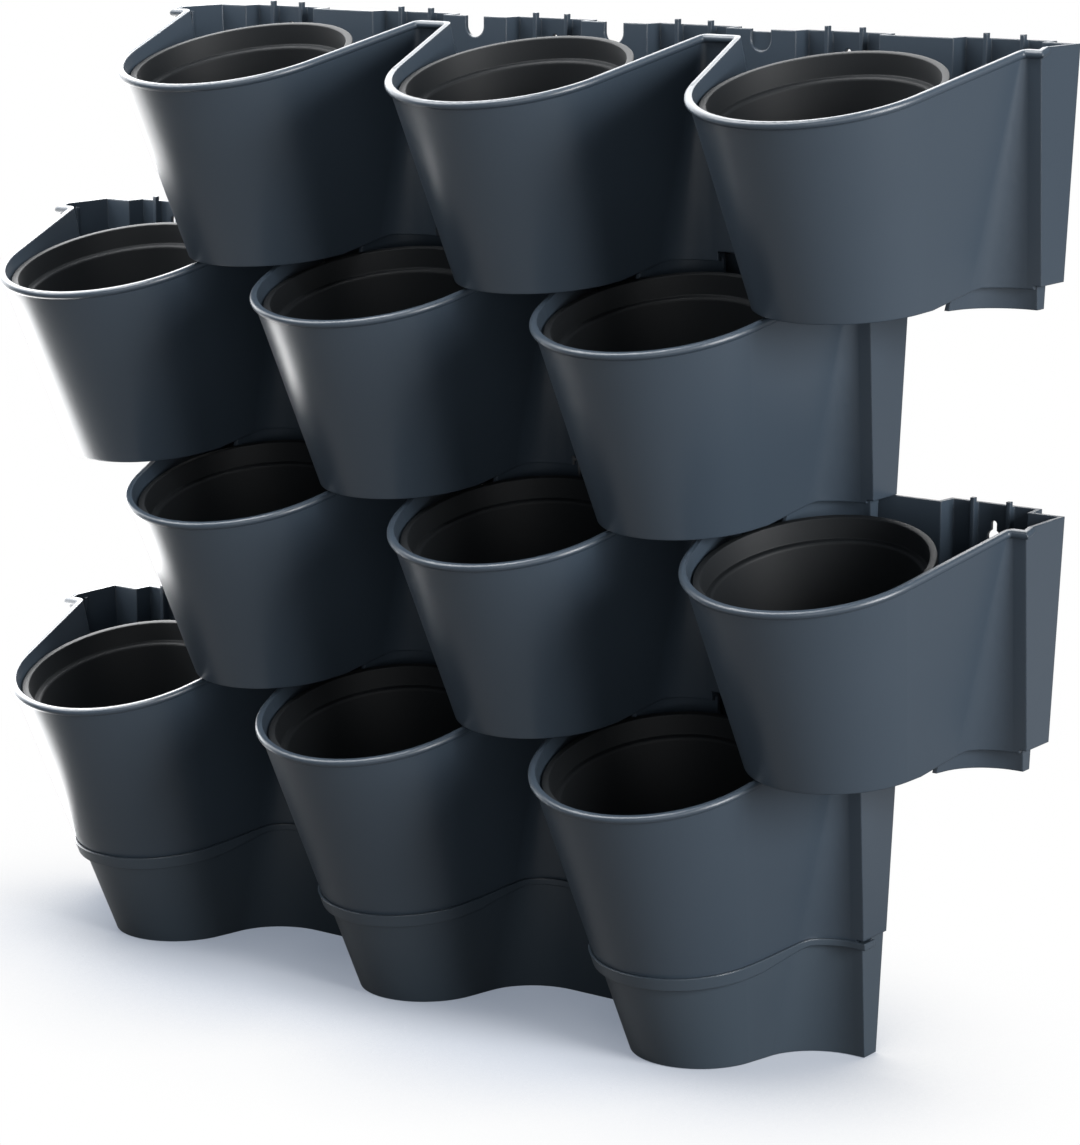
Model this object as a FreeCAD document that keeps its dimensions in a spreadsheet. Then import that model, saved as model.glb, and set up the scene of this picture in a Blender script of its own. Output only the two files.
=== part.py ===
import FreeCAD, Part

import math
import os

import Sketcher

# A vertical wall planter: rows of leaning pot sleeves hang one above the other,
# each row half a pot to the side of the next. A grow pot stands in every sleeve
# and a drip tray closes the lowest row. Wall plane Y = 0, front towards -Y,
# origin at the middle of the wall screws, millimetres and degrees.

DRIVING_SIZES = [
    ("row_pitch", 124.0),
    ("pot_pitch", 195.0),
    ("lean", 15.2),
    ("taper", 8.6),
    ("rim_radius", 69.4),
    ("pot_reach", 112.1),
    ("rim_over", 12.8),
    ("bridge_setback", 55.8),
    ("bridge_width", 21.8),
    ("fold_radius", 3.0),
    ("fold_growth", 0.18),
    ("end_trim", 1.1),
    ("end_draft", 2.5),
    ("end_land", 0.15),
    ("wall", 2.5),
    ("floor_rise", 13.2),
    ("base_drop", 11.0),
    ("base_tilt", 6.5),
    ("knee_ahead", 11.0),
    ("base_step", 1.9),
    ("skirt_depth", 10.0),
    ("tongue_inset", 4.8),
    ("tongue_drop", 13.5),
    ("tongue_wrap", 24.0),
    ("tongue_depth", 14.0),
    ("bead_radius", 2.1),
    ("bead_crown", 0.4),
    ("row_gap", 0.3),
    ("raised_width", 45.0),
    ("raised_depth", 14.0),
    ("raised_slope", 1.5),
    ("rib_spacing", 21.9),
    ("rib_thickness", 2.4),
    ("rib_depth", 7.5),
    ("rib_foot", 32.0),
    ("rib_rise", 2.9),
    ("rib_tip", 3.0),
    ("keyhole_below_top", 18.2),
    ("keyhole_head", 8.0),
    ("keyhole_slot", 3.6),
    ("keyhole_travel", 7.2),
    ("notch_width", 13.0),
    ("notch_depth", 12.0),
    ("web_recess", 1.3),
    ("slot_width", 14.5),
    ("slot_height", 3.6),
    ("slot_shift", 3.7),
    ("drain_bore", 14.0),
    ("hook_out", 8.5),
    ("hook_behind", 13.8),
    ("hook_lip", 5.5),
    ("hook_length", 40.0),
    ("hook_top_gap", 3.0),
    ("liner_clearance", 0.74),
    ("liner_base_play", 8.4),
    ("liner_wall", 1.4),
    ("liner_below_rim", 6.8),
    ("liner_lip_width", 2.6),
    ("liner_lip_height", 4.0),
    ("liner_step_depth", 12.0),
    ("liner_step_width", 5.0),
    ("liner_drain", 8.0),
    ("liner_drain_ring", 24.0),
    ("seat_gap", 0.3),
    ("tray_height", 61.0),
    ("tray_inset", 1.9),
    ("tray_wall", 2.2),
    ("tray_floor", 2.6),
    ("tray_lip", 1.5),
    ("tray_lip_height", 5.0),
    ("tray_lip_back", 1.0),
    ("tray_ledge", 3.0),
    ("tray_clearance", 0.3),
]

# Counts
ROWS = 4
POTS = 3
DRAINS = 4

# Sizes that follow from the driving ones
DERIVED_SIZES = [
    ("rim_wall_height", "row_pitch + rim_over"),
    ("end_reach", f"{POTS} * pot_pitch / 2 - end_trim"),
    ("knee_reach", "(pot_pitch - bridge_width) / 2"),
    ("knee_slant", "sqrt(knee_reach * knee_reach + bridge_setback * bridge_setback)"),
    ("wall_turn", "acos(rim_radius / knee_slant) - atan(bridge_setback / knee_reach)"),
    ("end_room_kept", "tongue_inset + wall + end_land"),
    ("floor_depth", "(rim_wall_height - pot_reach * sin(lean) + base_drop - floor_rise) / cos(lean)"),
    ("bridge_slope", "tan(lean) - bridge_setback * tan(taper) / rim_radius"),
    ("bridge_top", "(pot_reach - bridge_setback) * cos(lean)"),
    ("bridge_run", "(rim_wall_height - bridge_top * tan(lean)) / (1 / cos(lean) - bridge_slope * sin(lean))"),
    ("bridge_foot", "bridge_top - bridge_slope * bridge_run * cos(lean)"),
    ("base_knee", "bridge_foot + knee_ahead"),
    ("skirt_back", "bridge_foot - skirt_depth"),
    ("tongue_front", "bridge_foot + tongue_wrap"),
    ("tongue_back", "bridge_foot - tongue_depth"),
    ("bead_depth", "bead_radius - bead_crown"),
    ("keyhole_height", "row_pitch - row_gap - keyhole_below_top"),
    ("hook_setback", "bridge_top - hook_behind"),
    ("lip_foot", "liner_below_rim + liner_lip_height"),
    ("liner_radius", "rim_radius - lip_foot * tan(taper) - wall / cos(taper) - liner_clearance"),
    ("liner_base_radius", "rim_radius - floor_depth * tan(taper) - wall / cos(taper) - liner_base_play"),
]

# Lengths that only have to reach past the piece that they cut
PAST = 20.0
SPAN = 1000.0

DOC = FreeCAD.newDocument("wall_planter")
SHEET = DOC.addObject("Spreadsheet::Sheet", "Sizes")
X_AXIS = FreeCAD.Vector(1, 0, 0)
SIDE_PLANE = FreeCAD.Rotation(FreeCAD.Vector(1, 1, 1), 120)
FRONT_PLANE = FreeCAD.Rotation(X_AXIS, 90)


def fill_sheet():
    """Write every size into its own named cell."""
    cells = [(alias, str(value)) for alias, value in DRIVING_SIZES]
    cells += [(alias, f"={formula}") for alias, formula in DERIVED_SIZES]
    for row, (alias, content) in enumerate(cells, start=1):
        SHEET.set(f"A{row}", alias)
        SHEET.setAlias(f"B{row}", alias)
        SHEET.set(f"B{row}", content)
    DOC.recompute()


def cell_names():
    """Every size's name with the name of its cell."""
    return {alias: f"Sizes.{alias}" for alias, _ in DRIVING_SIZES + DERIVED_SIZES}


def size(alias):
    """The number in a named cell."""
    return float(SHEET.get(alias))


def bind(thing, prop, formula):
    """Drive a property from the sheet; words in braces are cell names."""
    thing.setExpression(prop, formula.format(**cell_names()))


def add(kind, name, **bindings):
    """Make a document object and bind its properties to formulas."""
    thing = DOC.addObject(kind, name)
    for prop, formula in bindings.items():
        bind(thing, prop, formula)
    return thing


def place(thing, x="0", y="0", z="0"):
    """Bind the place of an object to three formulas."""
    bind(thing, "Placement.Base.x", x)
    bind(thing, "Placement.Base.y", y)
    bind(thing, "Placement.Base.z", z)
    return thing


def block(name, x, y, z):
    """A box from three pairs of formulas: its low and its high limit."""
    box = add(
        "Part::Box",
        name,
        Length=f"({x[1]}) - ({x[0]})",
        Width=f"({y[1]}) - ({y[0]})",
        Height=f"({z[1]}) - ({z[0]})",
    )
    return place(box, x[0], y[0], z[0])


def rod_along_y(name, x, z, radius, y):
    """A round bar from front to back, from its high Y limit forwards."""
    rod = add("Part::Cylinder", name, Radius=radius, Height=f"({y[1]}) - ({y[0]})")
    rod.Placement = FreeCAD.Placement(FreeCAD.Vector(), FRONT_PLANE)
    return place(rod, x, y[1], z)


def join(name, shapes):
    """One shape from several."""
    fused = DOC.addObject("Part::MultiFuse", name)
    fused.Shapes = shapes
    return fused


def overlap(name, shapes):
    """What several shapes share."""
    common = DOC.addObject("Part::MultiCommon", name)
    common.Shapes = shapes
    return common


def cut(name, base, tool):
    """A shape with another taken away."""
    rest = DOC.addObject("Part::Cut", name)
    rest.Base = base
    rest.Tool = tool
    return rest


def loft(name, sections):
    """A straight-sided solid between two outlines."""
    solid = DOC.addObject("Part::Loft", name)
    solid.Sections = sections
    solid.Solid = True
    solid.Ruled = True
    return solid


def pin_point(sketch, geometry, vertex, x, y):
    """Hold a sketch point at two formulas, measured from the sketch's origin."""
    for direction, formula in (("DistanceX", x), ("DistanceY", y)):
        point = sketch.getPoint(geometry, vertex)
        value = point.x if direction == "DistanceX" else point.y
        rule = Sketcher.Constraint(direction, -1, 1, geometry, vertex, value)
        bind(sketch, f"Constraints[{sketch.addConstraint(rule)}]", formula)


def pin_radius(sketch, geometry, formula):
    """Hold the radius of an arc at a formula."""
    rule = Sketcher.Constraint("Radius", geometry, formula_value(formula))
    bind(sketch, f"Constraints[{sketch.addConstraint(rule)}]", formula)


def polygon(name, corners, rotation):
    """A closed sketch whose corners are (formula, value) pairs for both directions."""
    sketch = DOC.addObject("Sketcher::SketchObject", name)
    sketch.Placement = FreeCAD.Placement(FreeCAD.Vector(), rotation)
    points = [FreeCAD.Vector(x[1], y[1], 0) for x, y in corners]
    count = len(points)
    for index in range(count):
        sketch.addGeometry(Part.LineSegment(points[index], points[(index + 1) % count]))
    for index in range(count):
        sketch.addConstraint(Sketcher.Constraint("Coincident", index, 2, (index + 1) % count, 1))
    for index, (x, y) in enumerate(corners):
        pin_point(sketch, index, 1, x[0], y[0])
    return sketch


def formula_value(formula):
    """The value of a formula, for a sketch's first drawing."""
    result = SHEET.evalExpression(formula.format(**cell_names()))
    return float(getattr(result, "Value", result))


def corner(x, y):
    """A sketch corner from two formulas."""
    return (x, formula_value(x)), (y, formula_value(y))


def row_outline(name, depth):
    """The plan of a row, drawn on a leaning plane a given depth under the rim plane.

    Each sleeve is a round front with a straight wall to both sides, tangent to it.
    Bridges join the sleeves in rounded folds that widen with the depth, and the ends
    run straight back past the wall plane.
    """
    scale = f"(1 - ({depth}) * tan({{taper}}) / {{rim_radius}})"
    radius = f"{{rim_radius}} * {scale}"
    centre_y = f"-{{pot_reach}} + ({depth}) * tan({{lean}})"
    bridge_y = f"{centre_y} + {{bridge_setback}} * {scale}"
    side_x = f"{{knee_reach}} * {scale}"
    end_x = f"{{end_reach}} - ({depth}) * tan({{end_draft}})"
    back_y = "{wall}"
    end_room = f"({end_x} - {(POTS - 1) / 2} * {{pot_pitch}} - {side_x} - {{end_room_kept}})"
    widest_fold = f"{end_room} * tan(45 deg + {{wall_turn}} / 2)"
    fold = f"min({{fold_radius}} + ({depth}) * {{fold_growth}}; {widest_fold})"

    sketch = DOC.addObject("Sketcher::SketchObject", name)
    sketch.Placement = FreeCAD.Placement(FreeCAD.Vector(), FreeCAD.Rotation(X_AXIS, size("lean")))
    bind(sketch, "Placement.Base.z", f"{{rim_wall_height}} - ({depth}) / cos({{lean}})")
    bind(sketch, "Placement.Rotation.Angle", "{lean}")

    arc_radius = formula_value(radius)
    fold_value = formula_value(fold)
    middle = formula_value(centre_y)
    setback = formula_value(bridge_y) - middle
    side = formula_value(side_x)
    turn = math.acos(arc_radius / math.hypot(side, setback)) - math.atan2(setback, side)
    touch = FreeCAD.Vector(arc_radius * math.cos(turn), -arc_radius * math.sin(turn), 0)
    knee = FreeCAD.Vector(side, setback, 0)
    wall_way = (touch - knee).normalize()
    run = fold_value / math.tan(math.acos(wall_way.x) / 2)
    on_wall = knee + wall_way * run
    on_bridge = knee + X_AXIS * run
    fold_centre = on_bridge - FreeCAD.Vector(0, fold_value, 0)
    wall_angle = math.atan2(on_wall.y - fold_centre.y, on_wall.x - fold_centre.x)

    def mirrored(point, sign, axis):
        """A point beside a sleeve's axis, to its right or its left."""
        return axis + FreeCAD.Vector(sign * point.x, point.y, 0)

    pot_places = [f"{pot - (POTS - 1) / 2} * {{pot_pitch}}" for pot in range(POTS)]
    ends = [(f"-({end_x})", back_y), (f"-({end_x})", bridge_y), (end_x, bridge_y), (end_x, back_y)]
    corners = [FreeCAD.Vector(formula_value(x), formula_value(y), 0) for x, y in ends]
    upwards = FreeCAD.Vector(0, 0, 1)
    edges = [Part.LineSegment(corners[0], corners[1])]
    folds = []
    fronts = []
    reached = corners[1]
    for pot_x in pot_places:
        axis = FreeCAD.Vector(formula_value(pot_x), middle, 0)
        left_fold = Part.Circle(mirrored(fold_centre, -1, axis), upwards, fold_value)
        front = Part.Circle(axis, upwards, arc_radius)
        right_fold = Part.Circle(mirrored(fold_centre, 1, axis), upwards, fold_value)
        edges.append(Part.LineSegment(reached, mirrored(on_bridge, -1, axis)))
        folds.append(len(edges))
        edges.append(Part.ArcOfCircle(left_fold, math.pi - wall_angle, math.pi / 2))
        edges.append(Part.LineSegment(mirrored(on_wall, -1, axis), mirrored(touch, -1, axis)))
        fronts.append(len(edges))
        edges.append(Part.ArcOfCircle(front, math.pi + turn, 2 * math.pi - turn))
        edges.append(Part.LineSegment(mirrored(touch, 1, axis), mirrored(on_wall, 1, axis)))
        folds.append(len(edges))
        edges.append(Part.ArcOfCircle(right_fold, math.pi / 2, wall_angle))
        reached = mirrored(on_bridge, 1, axis)
    edges.append(Part.LineSegment(reached, corners[2]))
    edges.append(Part.LineSegment(corners[2], corners[3]))
    edges.append(Part.LineSegment(corners[3], corners[0]))
    sketch.addGeometry(edges)

    for index in range(len(edges)):
        following = (index + 1) % len(edges)
        leaving = 1 if index in folds else 2
        entering = 2 if following in folds else 1
        is_round = {index, following} & set(folds + fronts)
        kind = "Tangent" if is_round else "Coincident"
        sketch.addConstraint(Sketcher.Constraint(kind, index, leaving, following, entering))
    last = len(edges) - 1
    for index, (x, y) in zip((0, 1, last - 1, last), ends):
        pin_point(sketch, index, 1, x, y)
    for index, pot_x in zip(fronts, pot_places):
        pin_point(sketch, index, 3, pot_x, centre_y)
        pin_radius(sketch, index, radius)
        for sign, bridge, wall in (("-", index - 3, index - 1), ("+", index + 3, index + 1)):
            knee_x = f"{pot_x} {sign} {side_x}"
            spot = Part.Point(FreeCAD.Vector(formula_value(knee_x), middle + setback, 0))
            point = sketch.addGeometry(spot, True)
            pin_point(sketch, point, 1, knee_x, bridge_y)
            sketch.addConstraint(Sketcher.Constraint("PointOnObject", point, 1, bridge))
            sketch.addConstraint(Sketcher.Constraint("PointOnObject", point, 1, wall))
    for index in folds:
        pin_radius(sketch, index, fold)
    return sketch


def grown(name, outline, formula):
    """An outline moved outwards by a formula, or inwards where it is negative."""
    moved = add("Part::Offset2D", name, Value=formula)
    moved.Source = outline
    moved.Join = "Intersection"
    return moved


def prism(name, corners):
    """A side profile of Y and Z corners, drawn out along X both ways."""
    solid = DOC.addObject("Part::Extrusion", name)
    solid.Base = polygon(f"{name}_profile", corners, SIDE_PLANE)
    solid.DirMode = "Normal"
    solid.LengthFwd = SPAN
    solid.Symmetric = True
    solid.Solid = True
    return solid


def leaning_slab(name, depth, thickness):
    """A wide slab parallel to the rim plane, its top a given depth under it."""
    slab = add("Part::Box", name, Height=thickness)
    slab.Length = SPAN
    slab.Width = SPAN
    slab.Placement = FreeCAD.Placement(FreeCAD.Vector(), FreeCAD.Rotation(X_AXIS, size("lean")))
    bind(slab, "Placement.Rotation.Angle", "{lean}")
    low = f"{{rim_wall_height}} - ({depth} + {thickness}) / cos({{lean}})"
    half = SPAN / 2
    return place(slab, str(-half), f"-{half} * cos({{lean}})", f"{low} - {half} * sin({{lean}})")


def finished_body(name, moulding):
    """One piece of the assembly, made from its moulding."""
    body = DOC.addObject("PartDesign::Body", name)
    body.Label = name
    body.BaseFeature = moulding
    return body


# Where the pieces of a row repeat
PLATE_HEIGHT = "({row_pitch} - {row_gap})"
FAR_FRONT = "(-{pot_reach} - 2 * {rim_radius})"
FLOOR_Y = "(-{pot_reach} * cos({lean}) + {floor_depth} * sin({lean}))"
RIB_PAIRS = [f"{k - (2 * POTS - 1) / 2} * {{pot_pitch}} / 2" for k in range(2 * POTS)]
RAISED_PANELS = [f"{k - POTS + 1} * {{pot_pitch}} / 2" for k in range(2 * POTS - 1)]
END_PANEL = f"({POTS} * {{pot_pitch}} / 2 - {{raised_width}} / 2)"
DEEP = "{rim_wall_height} + {base_drop} + {tray_height} + {wall}"


def lower_edge(shift, knee_shift=None):
    """Side view of a row's lower edge from the front to its knee, moved up by formulas."""
    front = f"-{{base_drop}} + ({FAR_FRONT} - {FLOOR_Y}) * tan({{base_tilt}})"
    return [
        corner(FAR_FRONT, f"{front} + {shift}"),
        corner(FLOOR_Y, f"-{{base_drop}} + {shift}"),
        corner("-{base_knee}", f"-{{base_step}} + {knee_shift or shift}"),
    ]


def panel_block(name, left, right, inset):
    """An upright block with drafted sides: left and right are its limits in front."""
    front = f"-{{raised_depth}} + {inset}"
    back = "{wall}"
    flare = f"{{raised_slope}} * ({back} - ({front})) / {{raised_depth}}"
    solid = DOC.addObject("Part::Extrusion", name)
    solid.Base = polygon(f"{name}_plan", [
        corner(left, front),
        corner(right, front),
        corner(f"{right} + {flare}", back),
        corner(f"{left} - {flare}", back),
    ], FreeCAD.Rotation())
    solid.DirMode = "Normal"
    solid.LengthFwd = SPAN
    solid.Symmetric = True
    solid.Solid = True
    return solid


def corrugation(name, inset):
    """Blocks for the raised panels of the back plate."""
    half = f"({{raised_width}} / 2 - {inset})"
    shapes = []
    for index, middle in enumerate(RAISED_PANELS):
        shapes.append(panel_block(f"{name}_{index + 1}", f"{middle} - {half}", f"{middle} + {half}", inset))
    outer = f"({{end_reach}} + {PAST})"
    inner = f"({END_PANEL} + {inset})"
    shapes.append(panel_block(f"{name}_left", f"-{outer}", f"-{inner}", inset))
    shapes.append(panel_block(f"{name}_right", inner, outer, inset))
    return shapes


def ribs():
    """Pairs of upright ribs on the recessed panels, standing above the plate."""
    shapes = []
    for pair, middle in enumerate(RIB_PAIRS, start=1):
        for side, sign in (("left", "-"), ("right", "+")):
            x = f"{middle} {sign} {{rib_spacing}} / 2"
            span = (f"{x} - {{rib_thickness}} / 2", f"{x} + {{rib_thickness}} / 2")
            depth = ("-{rib_depth}", "-{wall} / 2")
            height = ("{rib_foot}", f"{PLATE_HEIGHT} + {{rib_rise}}")
            shapes.append(block(f"rib_{pair}_{side}", span, depth, height))
    return shapes


def rib_relief():
    """Room behind the rib tips for the plate of the row above."""
    depth = ("-{rib_depth} + {rib_tip}", "{wall}")
    height = (PLATE_HEIGHT, f"{PLATE_HEIGHT} + {{rib_rise}} + {PAST}")
    return block("rib_relief", (str(-SPAN), str(SPAN)), depth, height)


def keyholes():
    """A screw keyhole between the ribs of every pair, its slot above its head."""
    depth = (f"-{{wall}} - {PAST}", str(PAST))
    top = "{keyhole_height} + {keyhole_travel}"
    shapes = []
    for pair, middle in enumerate(RIB_PAIRS, start=1):
        span = (f"{middle} - {{keyhole_slot}} / 2", f"{middle} + {{keyhole_slot}} / 2")
        head = rod_along_y(f"head_{pair}", middle, "{keyhole_height}", "{keyhole_head} / 2", depth)
        crown = rod_along_y(f"crown_{pair}", middle, top, "{keyhole_slot} / 2", depth)
        shapes += [head, crown, block(f"slot_{pair}", span, depth, ("{keyhole_height}", top))]
    return shapes


def notch(name, middle, depth):
    """A notch with a round foot in the top edge of a raised panel."""
    foot = f"{PLATE_HEIGHT} - {{notch_depth}} + {{notch_width}} / 2"
    span = (f"{middle} - {{notch_width}} / 2", f"{middle} + {{notch_width}} / 2")
    top = f"{PLATE_HEIGHT} + {PAST}"
    return [
        block(f"{name}_mouth", span, depth, (foot, top)),
        rod_along_y(f"{name}_foot", middle, foot, "{notch_width} / 2", depth),
    ]


def notches():
    """Two open notches and one that a thin web still closes."""
    past = "-{raised_depth} - {web_recess}"
    through = (past, "-{raised_depth} + {wall} + {web_recess}")
    blind = (past, "-{raised_depth} + {web_recess}")
    first, second, closed = RAISED_PANELS[1:-1]
    half = "{notch_width} / 2"
    web_top = (f"{PLATE_HEIGHT} - {{web_recess}}", f"{PLATE_HEIGHT} + {PAST}")
    shapes = notch("notch_1", first, through) + notch("notch_2", second, through)
    shapes += notch("notch_3", closed, blind)
    shapes.append(block("web_top", (f"{closed} - {half}", f"{closed} + {half}"), through, web_top))
    return shapes


def foot_slots():
    """Slots in the foot of the bridges, and the corners cut off under both ends."""
    low = f"-{{base_drop}} - {PAST}"
    front = ("-{pot_reach}", "-{raised_depth}")
    shapes = []
    for index in range(POTS - 1):
        middle = f"{index - (POTS - 2) / 2} * {{pot_pitch}} - {{slot_shift}}"
        span = (f"{middle} - {{slot_width}} / 2", f"{middle} + {{slot_width}} / 2")
        shapes.append(block(f"foot_slot_{index + 1}", span, front, (low, "{slot_height}")))
    inner = f"({POTS} * {{pot_pitch}} / 2 - {{slot_shift}} - {{slot_width}} / 2)"
    outer = f"({{end_reach}} + {PAST})"
    shapes.append(block("foot_slot_left", (f"-{outer}", f"-{inner}"), front, (low, "0")))
    shapes.append(block("foot_slot_right", (inner, outer), front, (low, "0")))
    return shapes


def floor_drains():
    """A drain in the floor of every sleeve, along the sleeve's axis."""
    shapes = []
    for pot in range(POTS):
        drain = add("Part::Cylinder", f"drain_{pot + 1}", Radius="{drain_bore} / 2", Height="4 * {wall}")
        put_on_axis(drain, pot, "{floor_depth} + 2 * {wall}")
        shapes.append(drain)
    return shapes


def put_on_axis(thing, pot, depth):
    """Stand a piece on the leaning axis of a sleeve, a depth under the rim plane."""
    thing.Placement = FreeCAD.Placement(FreeCAD.Vector(), FreeCAD.Rotation(X_AXIS, size("lean")))
    bind(thing, "Placement.Rotation.Angle", "{lean}")
    x, y, z = axis_point(pot, depth)
    return place(thing, x, y, z)


def axis_point(pot, depth):
    """A point on a sleeve's leaning axis, as three formulas in the row's frame."""
    x = f"{pot - (POTS - 1) / 2} * {{pot_pitch}}"
    y = f"-{{pot_reach}} * cos({{lean}}) + ({depth}) * sin({{lean}})"
    z = f"{{rim_wall_height}} - {{pot_reach}} * sin({{lean}}) - ({depth}) * cos({{lean}})"
    return x, y, z


def hook():
    """The hook on the left end that links a row to its neighbour."""
    top = f"{PLATE_HEIGHT} - {{hook_top_gap}}"
    height = (f"{top} - {{hook_length}}", top)
    root = f"-{{end_reach}} + {{wall}} + {{hook_length}} * tan({{end_draft}})"
    tip = "-{end_reach} - {hook_out}"
    front = "-{hook_setback} - {wall}"
    arm = block("hook_arm", (tip, root), (front, "-{hook_setback}"), height)
    lip = block("hook_return", (tip, f"{tip} + {{wall}}"), (front, f"{front} + {{hook_lip}}"), height)
    return [arm, lip]


def inset_loft(name, rim, deep, inset):
    """The tapering block of a row, drawn in all round by a formula."""
    return loft(name, [grown(f"{name}_rim", rim, inset), grown(f"{name}_deep", deep, inset)])


def tongue(rim, deep):
    """A lip under the bridges and ends, set back to reach into the row below."""
    across = (str(-SPAN), str(SPAN))
    depth = ("-{tongue_front}", "-{tongue_back}")
    lip = overlap("tongue_lip", [
        inset_loft("tongue_outside", rim, deep, "-{tongue_inset}"),
        block("tongue_band", across, depth, ("-{tongue_drop}", "{wall}")),
    ])
    web = overlap("tongue_web", [
        inset_loft("tongue_web_outside", rim, deep, "-{wall} / 2"),
        block("tongue_web_band", across, depth, ("0", "{wall}")),
    ])
    behind = inset_loft("tongue_inside", rim, deep, "-{tongue_inset} - {wall}")
    return cut("tongue", join("tongue_solid", [lip, web]), behind)


def rim_bead():
    """A round bead crowning the rim, as far back as the rim is under the plate's top."""
    path = row_outline("bead_path", "{bead_depth}")
    section = add("Part::Circle", "bead_section", Radius="{bead_radius}")
    section.Placement = FreeCAD.Placement(FreeCAD.Vector(), FreeCAD.Rotation(X_AXIS, 90 + size("lean")))
    bind(section, "Placement.Rotation.Angle", "90 + {lean}")
    end_x = "-({end_reach} - {bead_depth} * tan({end_draft}))"
    start_z = "{rim_wall_height} - {bead_depth} / cos({lean}) + {wall} * sin({lean})"
    place(section, end_x, "{wall} * cos({lean})", start_z)
    bead = DOC.addObject("Part::Sweep", "bead_tube")
    bead.Sections = [section]
    knee_points = 2 * POTS
    front_edges = path.GeometryCount - knee_points - 1
    bead.Spine = (path, [f"Edge{index + 1}" for index in range(front_edges)])
    bead.Solid = True
    bead.Transition = "Right corner"
    across = (str(-SPAN), str(SPAN))
    back = f"-({{rim_wall_height}} - {PLATE_HEIGHT}) / tan({{lean}})"
    front = block("bead_front", across, (str(-SPAN), back), across)
    return overlap("rim_bead", [bead, front])


def sleeve_moulding(rim, deep):
    """A whole row: sleeves, bridges, floor, back plate, ribs, holes and hook."""
    outer = loft("row_outside", [rim, deep])
    inner = inset_loft("row_inside", rim, deep, "-{wall}")
    envelope = prism("row_envelope", lower_edge("0") + [
        corner("-{skirt_back}", "-{base_step}"),
        corner("-{skirt_back}", "0"),
        corner("0", "0"),
        corner("0", PLATE_HEIGHT),
        corner(FAR_FRONT, PLATE_HEIGHT),
    ])
    block_out = overlap("row_block", [outer, envelope])
    floor = leaning_slab("row_floor", "{floor_depth}", "{wall}")
    across = (str(-SPAN), str(SPAN))
    plate = block("row_plate", across, ("-{wall}", "{wall}"), across)
    kept = join("row_kept", [floor, plate] + corrugation("raised", "0"))
    shell = cut("row_shell", block_out, cut("row_hollow", inner, kept))
    ribbed = join("row_ribbed", [shell, rim_bead(), tongue(rim, deep)] + ribs() + hook())
    holes = keyholes() + notches() + foot_slots() + floor_drains()
    holes += corrugation("channel", "{wall}")
    holes.append(rib_relief())
    return cut("sleeve_moulding", ribbed, join("row_holes", holes))


def liner_moulding():
    """A round grow pot with a lip, an inner step under it and drain holes."""
    tall = "({floor_depth} - {seat_gap} - {liner_below_rim})"
    collar = "({liner_radius} - {liner_lip_width})"
    below = f"({collar} - {{liner_step_width}})"
    step = f"({tall} - {{liner_step_depth}})"
    lip = f"({tall} - {{liner_lip_height}})"
    skin = "{liner_wall}"
    profile = polygon("liner_profile", [
        corner("0", "0"),
        corner("{liner_base_radius}", "0"),
        corner(below, f"{step} - {skin}"),
        corner(f"{collar} - {skin} / 2", f"{step} - {skin}"),
        corner(collar, lip),
        corner("{liner_radius}", lip),
        corner("{liner_radius}", tall),
        corner(f"{collar} - {skin}", tall),
        corner(f"{collar} - {skin} / 2 - {skin}", step),
        corner(f"{below} - {skin}", step),
        corner(f"{{liner_base_radius}} - {skin}", skin),
        corner("0", skin),
    ], FRONT_PLANE)
    pot = DOC.addObject("Part::Revolution", "liner_turned")
    pot.Source = profile
    pot.Axis = FreeCAD.Vector(0, 0, 1)
    pot.Angle = 360
    pot.Solid = True
    drains = []
    for index in range(DRAINS):
        angle = 360 * (index + 0.5) / DRAINS
        bore = "{liner_drain} / 2"
        drain = add("Part::Cylinder", f"liner_drain_{index + 1}", Radius=bore, Height=f"3 * {skin}")
        x = f"{{liner_drain_ring}} * cos({angle})"
        place(drain, x, f"{{liner_drain_ring}} * sin({angle})", f"-{skin}")
        drains.append(drain)
    return cut("liner_moulding", pot, join("liner_drains", drains))


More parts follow.
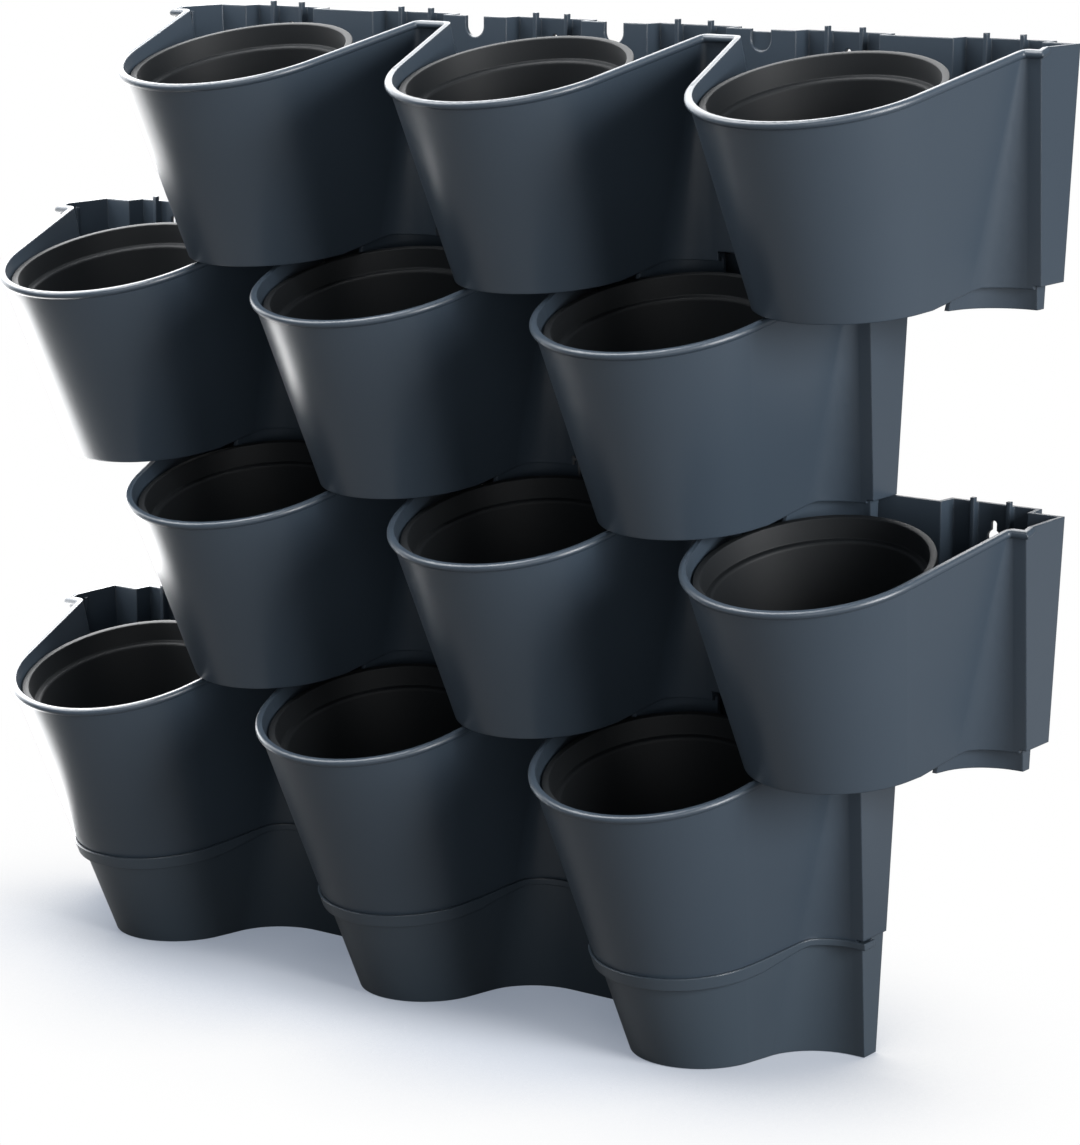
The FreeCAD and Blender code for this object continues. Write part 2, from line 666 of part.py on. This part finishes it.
def tray_moulding(rim, deep):
    """A trough under the lowest row: its lip cups the row's lower edge."""
    foot = "-{tray_height} - {base_drop}"
    back = "(-{raised_depth} + {wall})"
    back_top = "-{row_gap} - {seat_gap}"
    step_y = "-{skirt_back} + {wall}"
    lip_y = "-{skirt_back} - {tray_clearance}"
    body_block = prism("tray_envelope", lower_edge("-{seat_gap}") + [
        corner(step_y, "-{base_step} - {seat_gap}"),
        corner(step_y, back_top),
        corner(back, back_top),
        corner(back, foot),
        corner(FAR_FRONT, foot),
    ])
    lip_block = prism("tray_lip_band", lower_edge("-{tray_ledge}") + [
        corner(lip_y, "-{base_step} - {tray_ledge}"),
        corner(lip_y, "-{base_step} + {tray_lip_back}"),
    ] + lower_edge("{tray_lip_height}", "{tray_lip_back}")[::-1])
    row_space = prism("tray_row_space", lower_edge("-{seat_gap}") + [
        corner("{wall}", "-{base_step} - {seat_gap}"),
        corner("{wall}", "{row_pitch}"),
        corner(FAR_FRONT, "{row_pitch}"),
    ])
    water_space = prism("tray_water_space", [
        corner(FAR_FRONT, f"{foot} + {{tray_floor}}"),
        corner(f"{back} - {{tray_wall}}", f"{foot} + {{tray_floor}}"),
        corner(f"{back} - {{tray_wall}}", "{row_pitch}"),
        corner(FAR_FRONT, "{row_pitch}"),
    ])
    outside = overlap("tray_outside", [inset_loft("tray_body", rim, deep, "-{tray_inset}"), body_block])
    lip_loft = inset_loft("tray_lip_outer", rim, deep, "{tray_lip} + {tray_clearance}")
    lip_out = overlap("tray_lip_outside", [lip_loft, lip_block])
    seat_loft = inset_loft("tray_lip_inner", rim, deep, "{tray_clearance}")
    lip = cut("tray_lip", lip_out, overlap("tray_seat", [seat_loft, row_space]))
    bowl = inset_loft("tray_bowl", rim, deep, "-{tray_inset} - {tray_wall}")
    inside = overlap("tray_inside", [bowl, water_space])
    return cut("tray_moulding", join("tray_solid", [outside, lip]), inside)


def side_shift(row):
    """Rows stand a quarter pot pitch to the right and to the left in turn."""
    sign = "" if row % 2 == 1 else "-"
    return f"{sign}{{pot_pitch}} / 4"


def row_height(row):
    """Height of a row's plate foot over the middle of the wall screws."""
    return f"{(ROWS + 1) / 2 - row} * {{row_pitch}} - {{keyhole_height}}"


def build():
    """Make every piece of the planter and give each its place."""
    rim = row_outline("rim_outline", "0")
    deep = row_outline("deep_outline", DEEP)
    sleeve = sleeve_moulding(rim, deep)
    liner = liner_moulding()
    tray = tray_moulding(rim, deep)
    pieces = []
    for row in range(1, ROWS + 1):
        body = finished_body(f"sleeve_row_{row}", sleeve)
        pieces.append(place(body, side_shift(row), "0", row_height(row)))
        for pot, side in enumerate(("left", "middle", "right")):
            body = finished_body(f"liner_row_{row}_{side}", liner)
            put_on_axis(body, pot, "{floor_depth} - {seat_gap}")
            x, y, z = axis_point(pot, "{floor_depth} - {seat_gap}")
            place(body, f"{x} + {side_shift(row)}", y, f"{z} + {row_height(row)}")
            pieces.append(body)
    body = finished_body("drip_tray", tray)
    pieces.append(place(body, side_shift(ROWS), "0", row_height(ROWS)))
    DOC.recompute()
    return pieces


def check(pieces):
    """Stop if any object failed or any piece isn't one valid solid."""
    for thing in DOC.Objects:
        if "Invalid" in thing.State or "Error" in thing.State:
            raise RuntimeError(f"{thing.Name} failed: {thing.State}")
    for piece in pieces:
        shape = piece.Shape
        if shape.isNull() or not shape.isValid():
            raise RuntimeError(f"{piece.Label} has no valid shape")
        if len(shape.Solids) != 1:
            raise RuntimeError(f"{piece.Label} has {len(shape.Solids)} solids")


fill_sheet()
PIECES = build()
check(PIECES)
os.makedirs("parts", exist_ok=True)
for piece in PIECES:
    piece.Shape.exportStep(f"parts/{piece.Label}.step")
    print(piece.Label, round(piece.Shape.Volume), "mm3")
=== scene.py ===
import math

import bmesh
import bpy
from bpy.props import FloatProperty, FloatVectorProperty, IntProperty, PointerProperty
from mathutils import Matrix, Vector


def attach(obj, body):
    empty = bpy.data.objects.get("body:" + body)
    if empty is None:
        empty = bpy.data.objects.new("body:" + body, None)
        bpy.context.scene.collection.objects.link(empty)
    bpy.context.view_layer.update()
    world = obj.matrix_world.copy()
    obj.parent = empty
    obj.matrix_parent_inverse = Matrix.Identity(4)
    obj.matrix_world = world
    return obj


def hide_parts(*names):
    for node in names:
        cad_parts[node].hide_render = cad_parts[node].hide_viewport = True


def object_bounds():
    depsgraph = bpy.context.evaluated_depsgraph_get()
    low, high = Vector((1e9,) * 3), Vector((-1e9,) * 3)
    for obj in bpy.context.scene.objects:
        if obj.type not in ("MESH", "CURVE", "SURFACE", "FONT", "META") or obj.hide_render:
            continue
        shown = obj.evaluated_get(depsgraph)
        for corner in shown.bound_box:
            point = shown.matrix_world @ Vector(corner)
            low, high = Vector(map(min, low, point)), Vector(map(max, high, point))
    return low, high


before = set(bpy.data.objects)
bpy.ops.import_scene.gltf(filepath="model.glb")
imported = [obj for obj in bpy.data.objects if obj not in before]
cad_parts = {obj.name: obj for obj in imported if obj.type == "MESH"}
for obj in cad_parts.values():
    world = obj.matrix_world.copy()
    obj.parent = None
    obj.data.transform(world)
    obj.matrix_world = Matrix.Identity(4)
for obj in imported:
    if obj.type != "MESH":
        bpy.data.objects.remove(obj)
CAD_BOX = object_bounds()

bl_info = {
    "name": "Vertical wall planter",
    "version": (1, 0, 0),
    "blender": (4, 5, 0),
    "location": "View3D > Sidebar > Planter",
    "description": "Dresses the staggered pot rows, their grow pots and the drip tray",
    "category": "Add Mesh",
}

ROWS = range(1, 5)
SIDES = ("left", "middle", "right")
IMAGE_HEIGHT = 1145
FILM_WIDTH_MM = 36.0
ROUND_PARTS = 6
BEVEL_PARTS = 3
BEVEL_SHARE = 0.4
CORNER_ANGLE = math.radians(30)
SHARP_ANGLE = math.radians(40)
MERGE_DISTANCE = 1e-6
DRILL_SEGMENTS = 32
FLOOR_HALF = 6.0
FLOOR_GAP = 0.0005
PAPER_GRAIN = 0.985
# Share of the painted shadow colour in the floor's shadow; the rest is the lamp-lit floor
PAINTED_SHADOW_SHARE = 0.75
WHITE = (1, 1, 1, 1)

# Grain of the moulded plastics
CLOUD_SCALE = 9.0
SPECK_SCALE = 1400.0
CLOUD_TINT = 0.8
SPECK_TINT = 0.2
CLOUD_GLOSS = 0.10
SPECK_GLOSS = 0.06
GRAIN_DEPTH = 0.0002

# Sockets of the colour Mix node
MIX_FACTOR = 0
MIX_FIRST = 6
MIX_SECOND = 7
MIX_RESULT = 2


# Shader maths

class Value:
    """A shader socket that adds Math nodes when it is calculated with."""

    def __init__(self, tree, socket):
        self.tree = tree
        self.socket = socket

    def math(self, operation, first, second):
        node = self.tree.nodes.new("ShaderNodeMath")
        node.operation = operation
        for socket, given in zip(node.inputs, (first, second)):
            if isinstance(given, Value):
                self.tree.links.new(given.socket, socket)
            else:
                socket.default_value = given
        return Value(self.tree, node.outputs[0])

    def __add__(self, other):
        return self.math("ADD", self, other)

    def __radd__(self, other):
        return self.math("ADD", other, self)

    def __sub__(self, other):
        return self.math("SUBTRACT", self, other)

    def __mul__(self, other):
        return self.math("MULTIPLY", self, other)


class Finish:
    """The shader of a material or a world under construction."""

    def __init__(self, owner):
        self.owner = owner
        owner.use_nodes = True
        self.tree = owner.node_tree
        self.tree.nodes.clear()

    def node(self, kind, settings=None, **inputs):
        """Any node: its settings first, then the values or links of its sockets."""
        made = self.tree.nodes.new(kind)
        for key, given in (settings or {}).items():
            setattr(made, key, given)
        for key, given in inputs.items():
            socket = made.inputs[key.replace("_", " ")]
            if isinstance(given, Value):
                self.tree.links.new(given.socket, socket)
            else:
                socket.default_value = given
        return made

    def value(self, made, output):
        return Value(self.tree, made.outputs[output])

    def object_place(self):
        return self.value(self.node("ShaderNodeTexCoord"), "Object")

    def noise(self, scale, detail):
        """Soft random spots in object space, from 0 to 1."""
        made = self.node("ShaderNodeTexNoise", Vector=self.object_place(), Scale=scale, Detail=detail)
        return self.value(made, "Fac")

    def between(self, factor, first, second):
        """A colour that runs from one colour to another."""
        made = self.node("ShaderNodeMix", {"data_type": "RGBA"})
        self.tree.links.new(factor.socket, made.inputs[MIX_FACTOR])
        made.inputs[MIX_FIRST].default_value = (*first, 1)
        made.inputs[MIX_SECOND].default_value = (*second, 1)
        return Value(self.tree, made.outputs[MIX_RESULT])

    def mixed(self, factor, first, second):
        """A shader that runs from one shader to another."""
        made = self.node("ShaderNodeMixShader", Fac=factor)
        self.tree.links.new(first.outputs[0], made.inputs[1])
        self.tree.links.new(second.outputs[0], made.inputs[2])
        return made

    def finish(self, shader, end="ShaderNodeOutputMaterial"):
        """Lead a shader to the output of the material or the world."""
        self.tree.links.new(shader.outputs[0], self.node(end).inputs["Surface"])
        return self.owner


def moulded_plastic(name, colour, cloud, roughness, shine_level, edge_round, grain):
    """Moulded plastic: cloudy colour, a fine spark-eroded grain and softly rounded edges."""
    make = Finish(bpy.data.materials.new(name))
    clouds = make.noise(CLOUD_SCALE, detail=3.0)
    specks = make.noise(SPECK_SCALE, detail=2.0)
    dark = tuple(part * (1 - cloud) for part in colour)
    light = tuple(part * (1 + cloud) for part in colour)
    tint = make.between(clouds * CLOUD_TINT + specks * SPECK_TINT, dark, light)
    shine = roughness + (clouds - 0.5) * CLOUD_GLOSS + (specks - 0.5) * SPECK_GLOSS
    soft_edge = make.value(make.node("ShaderNodeBevel", {"samples": 6}, Radius=edge_round), "Normal")
    bump = make.node(
        "ShaderNodeBump", Strength=grain, Distance=GRAIN_DEPTH, Height=specks, Normal=soft_edge
    )
    surface = make.node(
        "ShaderNodeBsdfPrincipled",
        Base_Color=tint,
        Roughness=shine,
        Normal=make.value(bump, "Normal"),
    )
    surface.inputs["Specular IOR Level"].default_value = shine_level
    return make.finish(surface)


def show_in(node_name, material):
    """Give a node of the frame its finish."""
    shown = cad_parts[node_name]
    shown.data.materials.clear()
    shown.data.materials.append(material)


# Settings that a user would change

class PotSettings(bpy.types.PropertyGroup):
    """Sizes of the loose grow pots and where they stand."""

    lean: FloatProperty(
        name="Lean", description="Forward lean of the pots", default=math.radians(15.2), subtype="ANGLE"
    )
    pitch: FloatProperty(
        name="Pot pitch", description="Distance between the pots of a row", default=0.195, unit="LENGTH"
    )
    row_pitch: FloatProperty(
        name="Row pitch", description="Height from row to row", default=0.124, unit="LENGTH"
    )
    foot_depth: FloatProperty(
        name="Foot depth", description="Distance of a pot's foot from the wall",
        default=0.07967, unit="LENGTH",
    )
    foot_drop: FloatProperty(
        name="Foot drop", description="Height of a pot's foot under the wall screws of its row",
        default=0.10301, unit="LENGTH",
    )
    radius: FloatProperty(
        name="Rim radius", description="Outer radius of the rim", default=0.06449, unit="LENGTH"
    )
    base_radius: FloatProperty(
        name="Base radius", description="Outer radius at the foot", default=0.04198, unit="LENGTH"
    )
    height: FloatProperty(
        name="Height", description="Height of a pot along its axis", default=0.1019, unit="LENGTH"
    )
    wall: FloatProperty(
        name="Wall", description="Wall thickness", default=0.0014, unit="LENGTH"
    )
    lip_width: FloatProperty(
        name="Lip width", description="How far the rim's lip stands out", default=0.0026, unit="LENGTH"
    )
    lip_height: FloatProperty(
        name="Lip height", description="Height of the rim's lip", default=0.004, unit="LENGTH"
    )
    step_depth: FloatProperty(
        name="Step depth", description="Depth of the inner step under the rim", default=0.012, unit="LENGTH"
    )
    step_width: FloatProperty(
        name="Step width", description="Width of the inner step", default=0.005, unit="LENGTH"
    )
    step_round: FloatProperty(
        name="Step rounding", description="Radius of the inner step's edge", default=0.002, unit="LENGTH"
    )
    drain: FloatProperty(
        name="Drain", description="Radius of the drain holes", default=0.004, unit="LENGTH"
    )
    drain_ring: FloatProperty(
        name="Drain ring", description="Radius of the ring of drain holes", default=0.024, unit="LENGTH"
    )
    drains: IntProperty(name="Drains", description="Number of drain holes", default=4, min=0)
    segments: IntProperty(name="Segments", description="Segments round a pot", default=120, min=24)


class FinishSettings(bpy.types.PropertyGroup):
    """Colours and edges of the plastics."""

    sleeve: FloatVectorProperty(
        name="Sleeves", description="Colour of the pot rows", default=(0.029, 0.041, 0.056), subtype="COLOR"
    )
    tray: FloatVectorProperty(
        name="Tray", description="Colour of the drip tray", default=(0.034, 0.047, 0.062), subtype="COLOR"
    )
    pot: FloatVectorProperty(
        name="Grow pots", description="Colour of the loose pots", default=(0.0066, 0.008, 0.0095),
        subtype="COLOR",
    )
    edge_round: FloatProperty(
        name="Edge rounding", description="Radius that edges are shaded with", default=0.0012, unit="LENGTH"
    )
    pot_edge_round: FloatProperty(
        name="Pot edge rounding", description="The same radius on the loose pots", default=0.0005,
        unit="LENGTH",
    )


class StageSettings(bpy.types.PropertyGroup):
    """Camera and studio."""

    azimuth: FloatProperty(
        name="Azimuth", description="Camera turn to the right of the front", default=math.radians(35.95),
        subtype="ANGLE",
    )
    pitch: FloatProperty(
        name="Pitch", description="Camera tilt downwards", default=math.radians(11.92), subtype="ANGLE"
    )
    roll: FloatProperty(
        name="Roll", description="Camera roll", default=math.radians(0.2), subtype="ANGLE"
    )
    eye: FloatVectorProperty(
        name="Eye", description="Camera place", default=(1.2324, -1.7147, 0.3267), subtype="TRANSLATION"
    )
    focal: FloatProperty(
        name="Focal length", description="In pixels of the photograph", default=3667.5
    )
    floor_colour: FloatVectorProperty(
        name="Floor", description="Colour of the floor", default=(0.86, 0.88, 0.92), subtype="COLOR"
    )
    # The shadow round the foot is painted on the floor in this colour, out to the reach below
    shadow_colour: FloatVectorProperty(
        name="Shadow", description="Colour of the shadow round the foot", default=(0.24, 0.28, 0.35),
        subtype="COLOR",
    )
    shadow_reach: FloatProperty(
        name="Shadow reach", description="How far the shadow spreads", default=0.2, unit="LENGTH"
    )


# Pieces

class PLANTER_OT_pot_rows(bpy.types.Operator):
    """Finish the four row mouldings in satin anthracite plastic"""

    bl_idname = "planter.pot_rows"
    bl_label = "Pot rows"

    def execute(self, context):
        finish = context.scene.planter_finish
        plastic = moulded_plastic(
            "anthracite_plastic",
            colour=tuple(finish.sleeve),
            cloud=0.06,
            roughness=0.34,
            shine_level=0.5,
            edge_round=finish.edge_round,
            grain=0.12,
        )
        for row in ROWS:
            show_in(f"sleeve_row_{row}", plastic)
        return {"FINISHED"}


class PLANTER_OT_drip_tray(bpy.types.Operator):
    """Finish the drip tray in an anthracite plastic of its own"""

    bl_idname = "planter.drip_tray"
    bl_label = "Drip tray"

    def execute(self, context):
        finish = context.scene.planter_finish
        plastic = moulded_plastic(
            "tray_plastic",
            colour=tuple(finish.tray),
            cloud=0.06,
            roughness=0.35,
            shine_level=0.5,
            edge_round=finish.edge_round,
            grain=0.12,
        )
        show_in("drip_tray", plastic)
        return {"FINISHED"}


def pot_mesh(pots):
    """A turned grow pot, standing upright on the origin."""
    collar = pots.radius - pots.lip_width
    below = collar - pots.step_width
    step = pots.height - pots.step_depth
    lip = pots.height - pots.lip_height
    wall = pots.wall
    rounded_step = []
    for index in range(ROUND_PARTS + 1):
        turn = math.pi / 2 * index / ROUND_PARTS
        outward = pots.step_round * (1 - math.sin(turn))
        drop = pots.step_round * (1 - math.cos(turn))
        rounded_step.append((below - wall + outward, step - drop))
    profile = [
        (0.0, 0.0),
        (pots.base_radius, 0.0),
        (below, step - wall),
        (collar - wall / 2, step - wall),
        (collar, lip),
        (pots.radius, lip),
        (pots.radius, pots.height),
        (collar - wall, pots.height),
        (collar - wall / 2 - wall, step),
        *rounded_step,
        (pots.base_radius - wall, wall),
        (0.0, wall),
    ]
    bm = bmesh.new()
    corners = [bm.verts.new((radius, 0.0, height)) for radius, height in profile]
    edges = [bm.edges.new(pair) for pair in zip(corners, corners[1:])]
    bmesh.ops.spin(
        bm,
        geom=corners + edges,
        cent=(0, 0, 0),
        axis=(0, 0, 1),
        angle=2 * math.pi,
        steps=pots.segments,
        use_merge=True,
    )
    bmesh.ops.remove_doubles(bm, verts=bm.verts, dist=MERGE_DISTANCE)
    bmesh.ops.recalc_face_normals(bm, faces=bm.faces)
    rims = [edge for edge in bm.edges if edge.is_manifold and edge.calc_face_angle() > CORNER_ANGLE]
    bmesh.ops.bevel(
        bm,
        geom=rims,
        offset=wall * BEVEL_SHARE,
        affect="EDGES",
        segments=BEVEL_PARTS,
        profile=0.5,
        material=-1,
        clamp_overlap=True,
    )
    for face in bm.faces:
        face.smooth = True
    mesh = bpy.data.meshes.new("grow_pot")
    bm.to_mesh(mesh)
    bm.free()
    return mesh


def drilled(mesh, pots):
    """The pot's mesh with its drain holes cut."""
    bm = bmesh.new()
    for index in range(pots.drains):
        angle = 2 * math.pi * (index + 0.5) / pots.drains
        place = Vector((math.cos(angle), math.sin(angle), 0)) * pots.drain_ring
        bmesh.ops.create_cone(
            bm,
            cap_ends=True,
            segments=DRILL_SEGMENTS,
            radius1=pots.drain,
            radius2=pots.drain,
            depth=8 * pots.wall,
            matrix=Matrix.Translation(place),
        )
    drill_mesh = bpy.data.meshes.new("drills")
    bm.to_mesh(drill_mesh)
    bm.free()
    drills = bpy.data.objects.new("drills", drill_mesh)
    blank = bpy.data.objects.new("blank", mesh)
    for thing in (drills, blank):
        bpy.context.collection.objects.link(thing)
    holes = blank.modifiers.new("holes", "BOOLEAN")
    holes.object = drills
    holes.solver = "EXACT"
    bpy.context.view_layer.update()
    graph = bpy.context.evaluated_depsgraph_get()
    cut = bpy.data.meshes.new_from_object(blank.evaluated_get(graph))
    cut.set_sharp_from_angle(angle=SHARP_ANGLE)
    for thing in (drills, blank):
        bpy.data.objects.remove(thing)
    return cut


class PLANTER_OT_grow_pots(bpy.types.Operator):
    """Turn the twelve loose grow pots and stand one in every sleeve"""

    bl_idname = "planter.grow_pots"
    bl_label = "Grow pots"

    def execute(self, context):
        pots = context.scene.planter_pots
        finish = context.scene.planter_finish
        plastic = moulded_plastic(
            "black_pot_plastic",
            colour=tuple(finish.pot),
            cloud=0.10,
            roughness=0.6,
            shine_level=0.25,
            edge_round=finish.pot_edge_round,
            grain=0.2,
        )
        turned = drilled(pot_mesh(pots), pots)
        turned.materials.clear()
        turned.materials.append(plastic)
        lean = Matrix.Rotation(pots.lean, 4, "X")
        for row in ROWS:
            stagger = pots.pitch / 4 if row % 2 else -pots.pitch / 4
            foot = (len(ROWS) / 2 + 0.5 - row) * pots.row_pitch - pots.foot_drop
            for column, side in enumerate(SIDES):
                place = Vector(((column - 1) * pots.pitch + stagger, -pots.foot_depth, foot))
                mesh = turned.copy()
                mesh.transform(Matrix.Translation(place) @ lean)
                pot = bpy.data.objects.new(f"grow_pot_row_{row}_{side}", mesh)
                context.collection.objects.link(pot)
                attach(pot, f"pot_row_{row}_{side}")
                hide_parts(f"liner_row_{row}_{side}")
        return {"FINISHED"}


# Stage

def area_light(name, place, target, size, watts, gloss_only=False):
    """A soft light that looks at a point, unseen by the camera; it may make reflections alone."""
    data = bpy.data.lights.new(name, "AREA")
    data.shape = "RECTANGLE"
    data.size, data.size_y = size
    data.energy = watts
    lamp = bpy.data.objects.new(name, data)
    lamp.visible_camera = False
    lamp.visible_diffuse = not gloss_only
    lamp.location = place
    lamp.rotation_mode = "QUATERNION"
    lamp.rotation_quaternion = (Vector(target) - Vector(place)).to_track_quat("-Z", "Y")
    bpy.context.collection.objects.link(lamp)


def floor_finish(colour, shade, bounce, reach):
    """A pale floor: round the object's foot it shows a painted shadow, a flat glowing shadow colour mixed
    with a quarter of the lamp-lit floor, and it runs out to white.
    """
    make = Finish(bpy.data.materials.new("studio_floor"))
    paper = make.noise(scale=40.0, detail=3.0)
    shaded = tuple(part * PAPER_GRAIN for part in colour)
    tint = make.between(paper, shaded, colour)
    lit = make.node("ShaderNodeBsdfDiffuse", Color=tint, Roughness=1.0)
    # Painted shadow: a flat shadow colour that glows on the floor. Three quarters of the shadow is this
    # colour; the lamp-lit floor adds a quarter of real light and shadow.
    soft = make.node("ShaderNodeEmission", Color=(*shade, 1), Strength=1.0)
    dim = make.node("ShaderNodeBsdfDiffuse", Color=(bounce, bounce, bounce, 1), Roughness=1.0)
    white = make.node("ShaderNodeEmission", Color=WHITE, Strength=1.0)
    # Ambient occlusion sets where the painted shadow shows: fully at the foot, fading to white within the
    # reach.
    near = make.node("ShaderNodeAmbientOcclusion", {"samples": 16}, Distance=reach)
    clear = make.node(
        "ShaderNodeMapRange",
        {"interpolation_type": "SMOOTHSTEP"},
        Value=make.value(near, "AO"),
        From_Min=0.4,
        From_Max=0.98,
    )
    seen = make.value(make.node("ShaderNodeLightPath"), "Is Camera Ray")
    shown = make.mixed(make.value(clear, "Result"), make.mixed(PAINTED_SHADOW_SHARE, lit, soft), white)
    return make.finish(make.mixed(seen, dim, shown))


def studio_world(strength):
    """White to the camera, a plain even light to the object."""
    make = Finish(bpy.data.worlds.new("studio"))
    lit = make.node("ShaderNodeBackground", Color=(0.93, 0.96, 1.0, 1), Strength=strength)
    white = make.node("ShaderNodeBackground", Color=WHITE, Strength=1.0)
    seen = make.value(make.node("ShaderNodeLightPath"), "Is Camera Ray")
    return make.finish(make.mixed(seen, lit, white), "ShaderNodeOutputWorld")


class PLANTER_OT_stage(bpy.types.Operator):
    """Set the pale floor, the studio lights and the camera"""

    bl_idname = "planter.stage"
    bl_label = "Stage"

    def execute(self, context):
        scene = context.scene
        stage = scene.planter_stage
        low, high = CAD_BOX
        scene.view_settings.view_transform = "Standard"

        bm = bmesh.new()
        bmesh.ops.create_grid(bm, x_segments=1, y_segments=1, size=FLOOR_HALF)
        bmesh.ops.translate(bm, verts=bm.verts, vec=(0, 0, low.z - FLOOR_GAP))
        mesh = bpy.data.meshes.new("floor")
        bm.to_mesh(mesh)
        bm.free()
        floor = bpy.data.objects.new("floor", mesh)
        paper = floor_finish(
            colour=tuple(stage.floor_colour),
            shade=tuple(stage.shadow_colour),
            bounce=0.18,
            reach=stage.shadow_reach,
        )
        mesh.materials.append(paper)
        context.collection.objects.link(floor)

        scene.world = studio_world(strength=0.2)
        middle = (low + high) / 2
        for height, tall, watts in ((-0.19, 0.34, 10), (0.17, 0.38, 6)):
            area_light(
                "left_panel",
                place=(-0.47, 0.31, height),
                target=(0, 0.38, height),
                size=(0.99, tall),
                watts=watts,
                gloss_only=True,
            )
        area_light("top_left", place=(-1.1, -0.7, 1.3), target=middle, size=(1.0, 0.8), watts=26)
        area_light("top_soft", place=(-0.2, -0.5, 1.4), target=middle, size=(1.2, 0.5), watts=34)
        area_light("back_top", place=(-1.0, 1.0, 1.2), target=middle, size=(2.0, 1.2), watts=46)
        area_light("right_side", place=(2.4, -0.45, 0.6), target=middle, size=(1.0, 1.2), watts=96)
        area_light("front_fill", place=(1.5, -2.1, 0.05), target=middle, size=(1.6, 1.2), watts=18)

        data = bpy.data.cameras.new("camera")
        data.lens = stage.focal / IMAGE_HEIGHT * FILM_WIDTH_MM
        data.sensor_width = FILM_WIDTH_MM
        camera = bpy.data.objects.new("camera", data)
        look = Matrix.Rotation(stage.azimuth, 4, "Z")
        look = look @ Matrix.Rotation(math.pi / 2 - stage.pitch, 4, "X")
        look = look @ Matrix.Rotation(stage.roll, 4, "Z")
        camera.matrix_world = Matrix.Translation(stage.eye) @ look
        context.collection.objects.link(camera)
        scene.camera = camera
        return {"FINISHED"}


class PLANTER_PT_sidebar(bpy.types.Panel):
    """Lists the steps of the planter"""

    bl_idname = "PLANTER_PT_sidebar"
    bl_label = "Wall planter"
    bl_space_type = "VIEW_3D"
    bl_region_type = "UI"
    bl_category = "Planter"

    def draw(self, context):
        for step in STEPS:
            self.layout.operator(step.bl_idname)


STEPS = (
    PLANTER_OT_pot_rows,
    PLANTER_OT_grow_pots,
    PLANTER_OT_drip_tray,
    PLANTER_OT_stage,
)
SETTINGS = {
    "planter_pots": PotSettings,
    "planter_finish": FinishSettings,
    "planter_stage": StageSettings,
}


def register():
    for name, group in SETTINGS.items():
        bpy.utils.register_class(group)
        setattr(bpy.types.Scene, name, PointerProperty(type=group))
    for step in STEPS:
        bpy.utils.register_class(step)
    bpy.utils.register_class(PLANTER_PT_sidebar)


def unregister():
    bpy.utils.unregister_class(PLANTER_PT_sidebar)
    for step in reversed(STEPS):
        bpy.utils.unregister_class(step)
    for name, group in SETTINGS.items():
        delattr(bpy.types.Scene, name)
        bpy.utils.unregister_class(group)


def main():
    register()
    bpy.ops.planter.pot_rows()
    bpy.ops.planter.grow_pots()
    bpy.ops.planter.drip_tray()
    bpy.ops.planter.stage()


if __name__ == "__main__":
    main()
